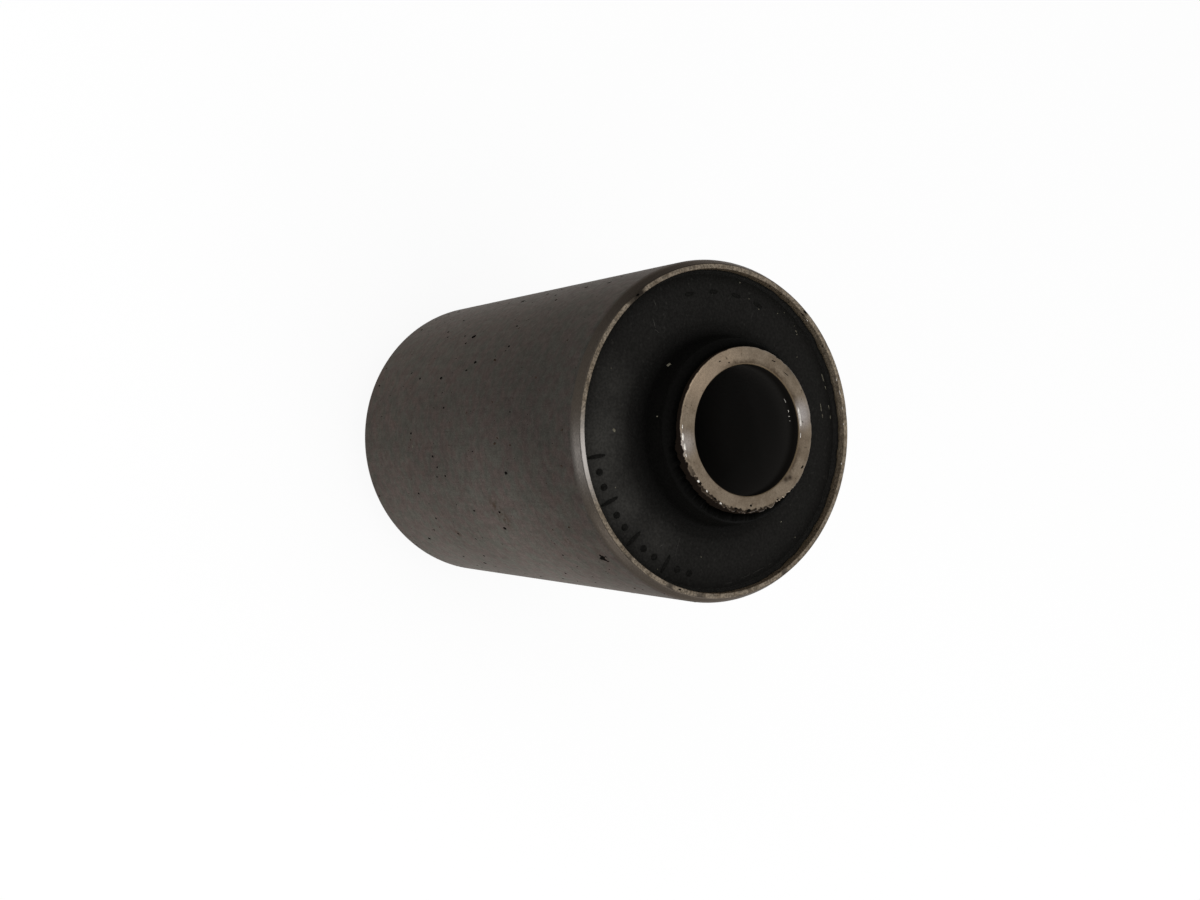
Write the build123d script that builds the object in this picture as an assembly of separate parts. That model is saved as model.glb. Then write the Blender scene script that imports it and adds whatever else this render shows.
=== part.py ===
from build123d import *
import os

# Bonded rubber and metal bush, of the kind pressed into the eye of a leaf spring or a
# suspension arm: a thick inner sleeve that a bolt clamps, a thin outer sleeve that is the
# press fit, and rubber vulcanised to both. All three pieces are turned about +Z, and the
# bush is the same at both ends. The origin is on the bore's axis, midway along it.
# All sizes are in millimetres.

# Outer sleeve: thin tube, turned down at both ends to lead it into its eye
OUTER_DIAMETER = 38.0
OUTER_LENGTH = 57.0
OUTER_WALL = 1.15
LEAD_IN_LENGTH = 1.1
LEAD_IN_DEPTH = 0.6
RIM_EDGE_ROUND = 0.3

# Inner sleeve: thick tube for an M14 bolt, longer than the outer one so that it is clamped
INNER_DIAMETER = 18.0
BORE_DIAMETER = 14.2
INNER_LENGTH = 66.0
END_CHAMFER = 0.15
BORE_CHAMFER = 0.1

# Rubber, at each end. Depths are from the rim, which is the outer sleeve's end face, and
# drops are from the inner sleeve's end face
FACE_DEPTH_AT_WALL = 1.5
FACE_DEPTH_AT_COLLAR = 1.2
FACE_DOME = 0.5
FILM_THICKNESS = 0.35
FILM_EDGE_DEPTH = 1.0
COLLAR_ROOT_RADIUS = 10.4
COLLAR_SHOULDER_RADIUS = 10.1
COLLAR_SHOULDER_DROP = 1.6
COLLAR_SHOULDER_ROUND = 0.7
LIP_DROP = 0.7

OUTER_RADIUS = OUTER_DIAMETER / 2
WALL_RADIUS = OUTER_RADIUS - OUTER_WALL
INNER_RADIUS = INNER_DIAMETER / 2
BORE_RADIUS = BORE_DIAMETER / 2
RIM_HEIGHT = OUTER_LENGTH / 2
SLEEVE_END_HEIGHT = INNER_LENGTH / 2


def round_corner(section, place, size):
    """Round the corner of a flat section that lies at the given (radius, height) place."""
    corner = section.vertices().sort_by_distance((*place, 0))[0]
    return fillet(corner, size)


def turned_both_ends(upper_section):
    """Mirror the upper half's section to give the lower half, and turn the whole about +Z."""
    section = upper_section + mirror(upper_section, Plane.XZ)
    return revolve(Plane.XZ * section, Axis.Z)


def outer_sleeve():
    """Thin tube with a lead-in taper and a rounded rim at both ends."""
    rim_corner = (OUTER_RADIUS - LEAD_IN_DEPTH, RIM_HEIGHT)
    section = make_face(
        Polyline(
            (WALL_RADIUS, 0),
            (OUTER_RADIUS, 0),
            (OUTER_RADIUS, RIM_HEIGHT - LEAD_IN_LENGTH),
            rim_corner,
            (WALL_RADIUS, RIM_HEIGHT),
            close=True,
        )
    )
    return turned_both_ends(round_corner(section, rim_corner, RIM_EDGE_ROUND))


def inner_sleeve():
    """Thick tube, chamfered at both ends: more outside than in the bore."""
    section = make_face(
        Polyline(
            (BORE_RADIUS, 0),
            (INNER_RADIUS, 0),
            (INNER_RADIUS, SLEEVE_END_HEIGHT - END_CHAMFER),
            (INNER_RADIUS - END_CHAMFER, SLEEVE_END_HEIGHT),
            (BORE_RADIUS + BORE_CHAMFER, SLEEVE_END_HEIGHT),
            (BORE_RADIUS, SLEEVE_END_HEIGHT - BORE_CHAMFER),
            close=True,
        )
    )
    return turned_both_ends(section)


def rubber_body():
    """Rubber between the sleeves.

    Each end is a ring that crowns between a crease at the outer sleeve and a crease at the
    collar. A thin film feathers up the outer sleeve's wall, and the collar follows the inner
    sleeve nearly to its end, where its shoulder rounds over to a thin lip.
    """
    film_edge = (WALL_RADIUS, RIM_HEIGHT - FILM_EDGE_DEPTH)
    wall_crease = (WALL_RADIUS - FILM_THICKNESS, RIM_HEIGHT - FACE_DEPTH_AT_WALL)
    collar_crease = (COLLAR_ROOT_RADIUS, RIM_HEIGHT - FACE_DEPTH_AT_COLLAR)
    shoulder = (COLLAR_SHOULDER_RADIUS, SLEEVE_END_HEIGHT - COLLAR_SHOULDER_DROP)
    lip = (INNER_RADIUS, SLEEVE_END_HEIGHT - LIP_DROP)
    outline = [
        Polyline(lip, (INNER_RADIUS, 0), (WALL_RADIUS, 0), film_edge, wall_crease),
        SagittaArc(wall_crease, collar_crease, -FACE_DOME),
        Polyline(collar_crease, shoulder, lip),
    ]
    section = round_corner(make_face(outline), shoulder, COLLAR_SHOULDER_ROUND)
    return turned_both_ends(section)


PIECES = {
    "outer_sleeve": (outer_sleeve, Color(0.36, 0.34, 0.33)),
    "rubber_body": (rubber_body, Color(0.03, 0.03, 0.03)),
    "inner_sleeve": (inner_sleeve, Color(0.62, 0.58, 0.53)),
}

os.makedirs("parts", exist_ok=True)
for name, (build_piece, colour) in PIECES.items():
    piece = build_piece()
    piece.label = name
    piece.color = colour
    export_step(piece, f"parts/{name}.step")
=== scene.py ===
"""Finishes, marks and stage for a bonded rubber and metal bush.

The bush is three turned pieces: a thin outer sleeve, rubber vulcanised inside it, and a thick inner
sleeve. Each is turned here again, finely, in the place of its plain solid, with its worn edges, and
small marks of wear, dirt and moulding, some painted as glints and sheen, are set on them.

Sizes are in millimetres unless a name says otherwise, and become metres where a mesh is made. +Z
runs along the bore. Angles are in degrees about +Z, from -Y towards +X.
"""

import logging
import math
import random
from collections.abc import Callable, Iterable, Sequence
from dataclasses import dataclass, replace
from enum import Enum
from functools import reduce

import bmesh
import bpy
from mathutils import Matrix, Quaternion, Vector, noise

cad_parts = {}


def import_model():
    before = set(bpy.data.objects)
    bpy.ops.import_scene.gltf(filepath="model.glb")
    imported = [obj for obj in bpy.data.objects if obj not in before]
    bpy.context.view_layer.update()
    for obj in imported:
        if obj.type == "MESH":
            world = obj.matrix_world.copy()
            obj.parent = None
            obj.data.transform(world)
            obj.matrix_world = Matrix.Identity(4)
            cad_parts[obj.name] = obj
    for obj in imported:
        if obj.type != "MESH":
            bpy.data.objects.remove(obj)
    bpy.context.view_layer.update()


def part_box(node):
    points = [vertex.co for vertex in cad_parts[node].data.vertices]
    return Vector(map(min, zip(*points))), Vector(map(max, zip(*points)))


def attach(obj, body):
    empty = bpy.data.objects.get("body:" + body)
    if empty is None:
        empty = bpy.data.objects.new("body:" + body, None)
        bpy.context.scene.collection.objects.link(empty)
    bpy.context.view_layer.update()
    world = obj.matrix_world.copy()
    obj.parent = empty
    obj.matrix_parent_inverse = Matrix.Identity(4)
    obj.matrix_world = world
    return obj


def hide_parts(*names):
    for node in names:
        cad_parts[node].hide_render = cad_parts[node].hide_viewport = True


LOG = logging.getLogger("bush")

MM = 0.001
BODY = "root"
UP = Vector((0, 0, 1))

Socket = bpy.types.NodeSocket
Colour = tuple[float, float, float]
Wear = Callable[[float, float, float], tuple[float, float]]


# ------------ turned forms


def around(angle: float) -> Vector:
    """The unit vector that points out from the axis at an angle in degrees."""
    turn = math.radians(angle)
    return Vector((math.sin(turn), -math.cos(turn), 0))


def direction(azimuth: float, elevation: float) -> Vector:
    """The unit vector that points out at an azimuth and up at an elevation, in degrees."""
    tilt = math.radians(elevation)
    return around(azimuth) * math.cos(tilt) + UP * math.sin(tilt)


def fade(value: float, start: float, end: float) -> float:
    """A smooth step that is 0 at start and 1 at end, which may lie either way round."""
    share = min(max((value - start) / (end - start), 0), 1)
    return share * share * (3 - 2 * share)


@dataclass(frozen=True)
class Ripple:
    """Smooth noise that closes on itself round the axis.

    Most of it lies within 0.6 of its depth, either way. Its waves are about as many swells as go
    to a radian, and its seed picks a different noise.
    """

    depth: float
    waves: float
    seed: float

    def at(self, angle: float, side: float) -> float:
        """The ripple at an angle, at the upper end, where side is 1, or the lower, -1."""
        return self.depth * noise.noise(around(angle) * self.waves + UP * self.seed * side)


def rippled(ripples: Iterable[Ripple], angle: float, side: float, level: float = 0) -> float:
    """A level with ripples added to it, at an angle and an end of the bush."""
    return sum((ripple.at(angle, side) for ripple in ripples), level)


@dataclass(frozen=True)
class Stretch:
    """A stretch of an edge, between two angles and with soft ends."""

    start: float
    end: float
    soft: float

    def share(self, angle: float) -> float:
        """1 in the stretch, falling to 0 past its ends."""
        begun = fade(angle, self.start - self.soft, self.start)
        return begun * fade(angle, self.end + self.soft, self.end)


@dataclass(frozen=True)
class Corner:
    """A corner of a half-section: its radius and height, and the round that breaks it."""

    radius: float
    height: float
    rounding: float = 0.0

    def place(self) -> Vector:
        """The corner as a flat vector of radius and height."""
        return Vector((self.radius, self.height))


@dataclass(frozen=True)
class HalfSection:
    """A closed half-section, which a full turn about Z makes into a piece."""

    corners: tuple[Corner, ...]
    arc_steps: int = 6
    support: float = 0.04

    @classmethod
    def both_ends(cls, upper: Sequence[Corner]) -> "HalfSection":
        """Mirror the corners of the upper end to give the lower one, and close the two."""
        lower = [replace(corner, height=-corner.height) for corner in reversed(upper)]
        return cls((*upper, *lower))

    def points(self) -> list[Vector]:
        """Walk the outline once, with its rounds as arcs.

        Returns:
            Flat vectors of radius and height, with a point close to each end of every arc, so that
            the shading of a flat stays flat up to its edge.
        """
        outline = []
        count = len(self.corners)
        for index, corner in enumerate(self.corners):
            before = self.corners[index - 1].place()
            after = self.corners[(index + 1) % count].place()
            outline += self._rounded(before, corner, after)
        return outline

    def _rounded(self, before: Vector, corner: Corner, after: Vector) -> list[Vector]:
        """The points of one corner.

        Args:
            before: place of the corner before it.
            corner: the corner.
            after: place of the corner after it.

        Returns:
            The corner itself, or its round with a point close to each end.
        """
        tip = corner.place()
        if corner.rounding == 0:
            return [tip]
        back = (before - tip).normalized()
        ahead = (after - tip).normalized()
        half = back.angle(ahead) / 2
        reach = corner.rounding / math.tan(half)
        centre = tip + (back + ahead).normalized() * (corner.rounding / math.sin(half))
        start = tip + back * reach - centre
        sweep = start.angle_signed(tip + ahead * reach - centre)
        arc = []
        for step in range(self.arc_steps + 1):
            spoke = start.copy()
            spoke.rotate(Matrix.Rotation(-sweep * step / self.arc_steps, 2))
            arc.append(centre + spoke)
        lead = [tip + back * (reach + self.support)]
        tail = [tip + ahead * (reach + self.support)]
        return lead + arc + tail


def domed(start: Vector, end: Vector, rise: float, steps: int) -> list[Corner]:
    """The inner points of an arc that swells to the left of the line from start to end.

    Args:
        start: flat vector of radius and height where the arc begins.
        end: the same where it ends.
        rise: how far the arc's middle stands off the straight line.
        steps: how many chords the arc has.

    Returns:
        Corners along the arc, without its two ends.
    """
    chord = end - start
    side = Vector((-chord.y, chord.x)).normalized()
    bend = chord.length**2 / (8 * rise) + rise / 2
    middle = (start + end) / 2 + side * (rise - bend)
    corners = []
    for step in range(1, steps):
        along = start + chord * step / steps
        spoke = (along - middle).normalized() * bend
        corners.append(Corner(*(middle + spoke)))
    return corners


def finished(
    name: str, work: bmesh.types.BMesh, finish: bpy.types.Material
) -> bpy.types.Object:
    """Make a smooth-shaded object of a bmesh, link it and ride it on the bush's body.

    Args:
        name: the piece's name.
        work: the bmesh, already in place and in metres; it is freed.
        finish: the material.

    Returns:
        The new object, which sits at the origin.
    """
    mesh = bpy.data.meshes.new(name)
    work.to_mesh(mesh)
    work.free()
    mesh.polygons.foreach_set("use_smooth", [True] * len(mesh.polygons))
    mesh.materials.append(finish)
    piece = bpy.data.objects.new(name, mesh)
    bpy.context.scene.collection.objects.link(piece)
    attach(piece, BODY)
    return piece


def turned(
    name: str, section: HalfSection, steps: int, wear: Wear, finish: bpy.types.Material
) -> bpy.types.Object:
    """Turn a half-section about Z and wear its surface.

    Args:
        name: the piece's name.
        section: the outline to turn.
        steps: how many faces go round the piece.
        wear: gives a point's worn radius and height from its angle, radius and height.
        finish: the material.

    Returns:
        The piece as an object.
    """
    work = bmesh.new()
    loop = [work.verts.new((point.x, 0, point.y)) for point in section.points()]
    edges = [work.edges.new(pair) for pair in zip(loop, loop[1:] + loop[:1])]
    bmesh.ops.spin(
        work,
        geom=loop + edges,
        cent=(0, 0, 0),
        axis=(0, 0, 1),
        angle=math.tau,
        steps=steps,
        use_merge=True,
    )
    for vert in work.verts:
        x, y, height = vert.co
        angle = math.degrees(math.atan2(x, -y))
        radius, height = wear(angle, math.hypot(x, y), height)
        vert.co = (around(angle) * radius + UP * height) * MM
    bmesh.ops.recalc_face_normals(work, faces=work.faces)
    return finished(name, work, finish)


# ------------ finishes


@dataclass(frozen=True)
class Grain:
    """Cloudy noise, and the level that is made of it.

    Its features are about a size in millimetres, and longer where stretched along X, Y or Z. The
    level goes smoothly from low, where the noise is at start, to high, where it is at end.
    """

    size: float
    start: float = 0.3
    end: float = 0.7
    low: float = 0.0
    high: float = 1.0
    detail: float = 2.0
    stretch: tuple[float, float, float] = (1, 1, 1)


class Nodes:
    """A tree of nodes, with short calls that fill it."""

    def __init__(self, tree: bpy.types.NodeTree) -> None:
        """Take the tree that is to be filled."""
        self.tree = tree

    def put(self, value: object, socket: Socket) -> None:
        """Join an output to a socket, or set the socket to a plain value.

        Args:
            value: an output, a number, a vector or a colour.
            socket: the input that takes it.
        """
        if isinstance(value, Socket):
            self.tree.links.new(value, socket)
        elif isinstance(value, tuple) and socket.type == "RGBA":
            socket.default_value = (*value, 1)
        else:
            socket.default_value = value

    def made(
        self, kind: str, output: str | int, inputs: dict[str | int, object], **settings: object
    ) -> Socket:
        """Add a node and fill it.

        Args:
            kind: the node's type.
            output: name or number of the output that is wanted.
            inputs: what goes to the inputs, by name or number.
            settings: the node's own settings.

        Returns:
            The output.
        """
        node = self.tree.nodes.new(kind)
        for name, value in settings.items():
            setattr(node, name, value)
        for name, value in inputs.items():
            self.put(value, node.inputs[name])
        return node.outputs[output]

    def number(self, operation: str, first: object, second: object = 0.0) -> Socket:
        """The result of one sum on one or two numbers."""
        return self.made("ShaderNodeMath", 0, {0: first, 1: second}, operation=operation)

    def step(
        self, value: object, start: float, end: float, low: float = 0, high: float = 1
    ) -> Socket:
        """A smooth step of a number.

        Args:
            value: the number.
            start: where the step begins.
            end: where it ends, which may be below its start.
            low: the level before and at start.
            high: the level at end and past it.

        Returns:
            The level.
        """
        (start, low), (end, high) = sorted([(start, low), (end, high)])
        ends = {"From Min": start, "From Max": end, "To Min": low, "To Max": high}
        inputs = {"Value": value, **ends}
        return self.made("ShaderNodeMapRange", "Result", inputs, interpolation_type="SMOOTHSTEP")

    def seen(self) -> Socket:
        """1 to the camera and to rays that a mirror or glass sends on, and 0 to other light."""
        path = self.tree.nodes.new("ShaderNodeLightPath").outputs
        sent_on = self.number("MAXIMUM", path["Is Glossy Ray"], path["Is Transmission Ray"])
        return self.number("MAXIMUM", path["Is Camera Ray"], sent_on)


class Graph(Nodes):
    """A material's nodes, with short calls for the patterns that the finishes share."""

    def __init__(self, name: str) -> None:
        """Start a material with a Principled shader joined to its output.

        Args:
            name: the material's name.
        """
        self.material = bpy.data.materials.new(name)
        self.material.use_nodes = True
        super().__init__(self.material.node_tree)
        self.shader = self.tree.nodes["Principled BSDF"]
        self.output = self.tree.nodes["Material Output"]
        self.coordinates = self.made("ShaderNodeTexCoord", "Object", {})

    def blend(self, share: object, first: object, second: object, mode: str = "MIX") -> Socket:
        """Mix two colours by a share from 0, all the first, to 1."""
        inputs = {"Factor": share, "A": first, "B": second}
        return self.made("ShaderNodeMix", "Result", inputs, data_type="RGBA", blend_type=mode)

    def noise(self, grain: Grain) -> Socket:
        """The plain noise of a grain, around a half.

        Args:
            grain: the grain, of which only the size, the stretch and the detail count here.

        Returns:
            The noise.
        """
        scale = tuple(1 / (grain.size * MM * much) for much in grain.stretch)
        scaled = {"Vector": self.coordinates, "Scale": scale}
        place = self.made("ShaderNodeMapping", "Vector", scaled)
        inputs = {"Vector": place, "Scale": 1.0, "Detail": grain.detail}
        return self.made("ShaderNodeTexNoise", "Fac", inputs)

    def level(self, grain: Grain) -> Socket:
        """The level of a grain."""
        return self.step(self.noise(grain), grain.start, grain.end, grain.low, grain.high)

    def radius(self) -> Socket:
        """Distance from the axis, in millimetres."""
        across = {0: self.coordinates, 1: (1 / MM, 1 / MM, 0)}
        flat = self.made("ShaderNodeVectorMath", 0, across, operation="MULTIPLY")
        return self.made("ShaderNodeVectorMath", "Value", {0: flat}, operation="LENGTH")

    def height(self) -> Socket:
        """Distance from the middle of the bush along the axis, either way, in millimetres."""
        along = self.made("ShaderNodeSeparateXYZ", "Z", {0: self.coordinates})
        return self.number("MULTIPLY", self.number("ABSOLUTE", along), 1 / MM)

    def near(self, place: Vector, reach: float) -> Socket:
        """1 at a place in millimetres, falling smoothly to 0 at a reach from it."""
        ends = {0: self.coordinates, 1: tuple(place * MM)}
        gap = self.made("ShaderNodeVectorMath", "Value", ends, operation="DISTANCE")
        return self.step(gap, reach * MM, 0)

    def rings(self, size: float) -> Socket:
        """Noise that changes only with the radius, as a facing tool leaves it."""
        inputs = {"W": self.radius(), "Scale": 1 / size}
        return self.made("ShaderNodeTexNoise", "Fac", inputs, noise_dimensions="1D")

    def shaded(self, colour: object, *levels: Socket) -> Socket:
        """A colour made lighter or darker by numbers around 1."""
        for level in levels:
            grey = self.made("ShaderNodeCombineColor", 0, {0: level, 1: level, 2: level})
            colour = self.blend(1.0, colour, grey, mode="MULTIPLY")
        return colour

    def both(self, *shares: Socket) -> Socket:
        """The product of shares: 1 only where all of them are 1."""
        return reduce(lambda first, second: self.number("MULTIPLY", first, second), shares)

    def overlaid(self, colour: object, grain: Grain, over: Colour) -> Socket:
        """A colour with another laid over it by the level of a grain."""
        return self.blend(self.level(grain), colour, over)

    def patched(
        self, colour: object, patches: Iterable["Patch"], over: Colour, *masks: Socket
    ) -> Socket:
        """A colour with another laid over it at patches.

        Args:
            colour: the colour below.
            patches: where the other lies.
            over: the other colour.
            masks: levels that leave it out where one of them is 0.

        Returns:
            The mixed colour.
        """
        for patch in patches:
            colour = self.blend(self.both(patch.share(self), *masks), colour, over)
        return colour

    def raised(self, value: object, mask: Socket, amount: float) -> Socket:
        """A number with an amount added to it where a mask is 1."""
        return self.number("ADD", value, self.number("MULTIPLY", mask, amount))

    def relief(self, level: object, depth: float) -> None:
        """Give the shader a bump from a level, with a full depth in millimetres."""
        inputs = {"Height": level, "Distance": depth * MM}
        self.surface(normal=self.made("ShaderNodeBump", "Normal", inputs))

    def surface(self, **values: object) -> bpy.types.Material:
        """Set or join the shader's sockets, named in lower case, and give the material."""
        for name, value in values.items():
            socket = name.replace("_", " ").title().replace("Ior", "IOR")
            self.put(value, self.shader.inputs[socket])
        return self.material


@dataclass(frozen=True)
class Patch:
    """A soft-edged place: where it lies, in millimetres, how far it reaches and how strong it is."""

    angle: float
    radius: float
    height: float
    reach: float
    strength: float = 1.0

    def share(self, graph: Graph) -> Socket:
        """The patch's strength in its middle, falling to 0 at its reach."""
        place = around(self.angle) * self.radius + UP * self.height
        return graph.number("MULTIPLY", graph.near(place, self.reach), self.strength)


@dataclass(frozen=True)
class CoatedSteel:
    """Dark phosphated tube, turned down at its ends and bare on its rims and inside them."""

    inside: float
    lead_in_start: float
    rim_start: float
    film_edge: float
    stains: tuple[Patch, ...]
    painted_shade: tuple[Patch, ...]
    painted_light: tuple[Patch, ...]
    brown_and_painted_shade: tuple[Patch, ...]
    scraped_and_highlight: tuple[Patch, ...]
    painted_highlight: tuple[Patch, ...]

    coat: Colour = (0.041, 0.0362, 0.0322)
    coat_worn: Colour = (0.049, 0.0432, 0.0384)
    coat_painted_shade: Colour = (0.0275, 0.025, 0.0227)
    coat_brown: Colour = (0.048, 0.0385, 0.0335)
    coat_painted_light: Colour = (0.086, 0.0765, 0.0685)
    reddish: Colour = (1.0, 0.91, 0.93)
    greenish: Colour = (0.9, 1.0, 0.97)
    turned_down: Colour = (0.044, 0.0365, 0.0295)
    turned_painted_highlight: Colour = (0.06, 0.055, 0.051)
    turned_brown_painted_shade: Colour = (0.014, 0.011, 0.0085)
    bare: Colour = (0.165, 0.136, 0.103)
    bare_scraped_and_highlight: Colour = (0.225, 0.184, 0.135)
    bare_painted_highlight: Colour = (0.5, 0.468, 0.444)
    rust_film: Colour = (0.08, 0.06, 0.04)
    stain_brown: Colour = (0.034, 0.022, 0.015)
    creep_brown_and_shade: Colour = (0.05, 0.038, 0.021)
    edge_tint: Colour = (0.56, 0.51, 0.47)

    clouds: Grain = Grain(2.6, 0.36, 0.64, detail=4)
    brownish: Grain = Grain(1.3, 0.45, 0.65, 0, 0.8, detail=3)
    drawn: Grain = Grain(0.3, low=0.95, high=1.05, stretch=(1, 1, 30))
    ground: Grain = Grain(0.3, low=0.97, high=1.03, detail=1, stretch=(9, 9, 1))
    mottled: Grain = Grain(0.9, low=0.87, high=1.13, detail=5)
    fine: Grain = Grain(0.16, 0.35, 0.65, 0.84, 1.16)
    hue: Grain = Grain(1.4, 0.36, 0.64, detail=5)
    broken: Grain = Grain(0.7, 0.42, 0.6, detail=4)
    brushed: Grain = Grain(0.25, low=0.85, high=1.15, stretch=(1, 1, 0.25))
    rusty: Grain = Grain(0.8, 0.48, 0.68, 0, 0.6, detail=5)
    speckled: Grain = Grain(0.2, 0.36, 0.64, 0.6, 1.4, detail=3)
    satin: Grain = Grain(0.6, low=0.46, high=0.54, detail=3)
    pebbled: Grain = Grain(0.16, detail=3)
    relief_depth: float = 0.006
    rougher_taper: float = -0.16
    rougher_rim: float = -0.1
    rougher_inside: float = 0.2
    metal: float = 0.7
    metal_inside: float = 0.15
    gloss: float = 0.15

    def material(self) -> bpy.types.Material:
        """Build the material."""
        graph = Graph("coated_steel")
        height = graph.height()
        taper = graph.step(height, self.lead_in_start - 0.12, self.lead_in_start + 0.1)
        rim = graph.step(height, self.rim_start, self.rim_start + 0.05)
        inner_wall = graph.step(graph.radius(), self.inside + 0.07, self.inside + 0.01)
        colour = graph.blend(taper, self._coat(graph), self._turned_down(graph))
        is_bare = graph.number("MAXIMUM", rim, inner_wall)
        colour = graph.blend(is_bare, colour, self._bare(graph, height, inner_wall))

        roughness = graph.raised(graph.level(self.satin), taper, self.rougher_taper)
        roughness = graph.raised(roughness, rim, self.rougher_rim)
        roughness = graph.raised(roughness, inner_wall, self.rougher_inside)
        graph.relief(graph.noise(self.pebbled), self.relief_depth)
        return graph.surface(
            base_color=colour,
            roughness=roughness,
            metallic=graph.step(inner_wall, 0, 1, self.metal, self.metal_inside),
            specular_ior_level=self.gloss,
            specular_tint=self.edge_tint,
        )

    def _coat(self, graph: Graph) -> Socket:
        """The coat's colour: clouds, painted light and shade, draw lines, grain, hues and stains.

        Args:
            graph: the material's nodes.

        Returns:
            The colour.
        """
        colour = graph.overlaid(self.coat, self.clouds, self.coat_worn)
        colour = graph.overlaid(colour, self.brownish, self.coat_brown)
        # Painted shade, a little blue, on the wall's upper left, and painted light on its right.
        colour = graph.patched(colour, self.painted_shade, self.coat_painted_shade)
        colour = graph.patched(colour, self.painted_light, self.coat_painted_light)
        grains = (self.drawn, self.ground, self.mottled, self.fine)
        colour = graph.shaded(colour, *(graph.level(grain) for grain in grains))
        tint = graph.overlaid(self.reddish, self.hue, self.greenish)
        colour = graph.blend(1.0, colour, tint, mode="MULTIPLY")
        return graph.patched(colour, self.stains, self.stain_brown, graph.level(self.broken))

    def _turned_down(self, graph: Graph) -> Socket:
        """The lead-in's colour: brushed, with painted shade and a painted highlight in places."""
        # Brown with painted shade, darkening the lead-in on one side.
        colour = graph.patched(self.turned_down, self.brown_and_painted_shade, self.turned_brown_painted_shade)
        # A painted highlight on the lead-in by the rim's edge.
        colour = graph.patched(colour, self.painted_highlight, self.turned_painted_highlight)
        return graph.shaded(colour, graph.level(self.brushed))

    def _bare(self, graph: Graph, height: Socket, inner_wall: Socket) -> Socket:
        """The bare steel: rust, scrapes, painted highlights, and brown and painted shade by the
        film.

        Args:
            graph: the material's nodes.
            height: distance from the middle of the bush.
            inner_wall: 1 on the tube's inner wall.

        Returns:
            The colour.
        """
        metal = graph.blend(inner_wall, self.bare, self.rust_film)
        # Bare steel with scrapes, which also carries a painted highlight on the far inner wall.
        metal = graph.patched(metal, self.scraped_and_highlight, self.bare_scraped_and_highlight)
        metal = graph.overlaid(metal, self.rusty, self.rust_film)
        metal = graph.shaded(metal, graph.level(self.speckled))
        # A painted highlight on the rim's edge.
        metal = graph.patched(metal, self.painted_highlight, self.bare_painted_highlight)
        # Brown from the film creeping up the wall, with painted shade in the crease above its edge.
        creep_and_shade = graph.step(height, self.film_edge + 0.35, self.film_edge + 0.05, 0, 0.7)
        return graph.blend(graph.both(creep_and_shade, inner_wall), metal, self.creep_brown_and_shade)


@dataclass(frozen=True)
class MouldedRubber:
    """Black carbon-filled rubber, dull moulded skin, painted sheen, and painted shade by the collar.
    """

    root_radius: float
    painted_sheen: tuple[Patch, ...]
    ring_black: Colour = (0.0132, 0.0127, 0.0117)
    collar_painted_shade: Colour = (0.0025, 0.0024, 0.0022)
    dust_and_sheen: Colour = (0.04, 0.0385, 0.035)
    cloudy: Grain = Grain(2.2, 0.25, 0.75, 0.75, 1.15, detail=3)
    dusty: Grain = Grain(0.5, 0.6, 0.78, 0, 0.3, detail=5)
    mottled: Grain = Grain(0.25, 0.32, 0.68, 0.8, 1.2, detail=3)
    satin: Grain = Grain(1.1, low=0.4, high=0.54, detail=4)
    pebbled: Grain = Grain(0.22, detail=3)
    uneven: Grain = Grain(1.5)
    relief_depth: float = 0.009
    gloss: float = 0.008

    def material(self) -> bpy.types.Material:
        """Build the material."""
        graph = Graph("moulded_rubber")
        # Painted shade: the rubber darkens from the ring into the collar's root and up the collar.
        ring = graph.step(graph.radius(), self.root_radius - 0.2, self.root_radius + 2.2)
        colour = graph.blend(ring, self.collar_painted_shade, self.ring_black)
        # A painted sheen, broken by clouds, on part of the ring.
        colour = graph.patched(colour, self.painted_sheen, self.dust_and_sheen, graph.level(self.cloudy), ring)
        # Pale dusty specks, in the colour that the painted sheen uses too.
        dusty = graph.both(graph.level(self.dusty), ring)
        colour = graph.shaded(graph.blend(dusty, colour, self.dust_and_sheen), graph.level(self.mottled))
        skin = graph.number("ADD", graph.noise(self.pebbled), graph.noise(self.uneven))
        graph.relief(skin, self.relief_depth)
        return graph.surface(
            base_color=colour, roughness=graph.level(self.satin), specular_ior_level=self.gloss
        )


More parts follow.
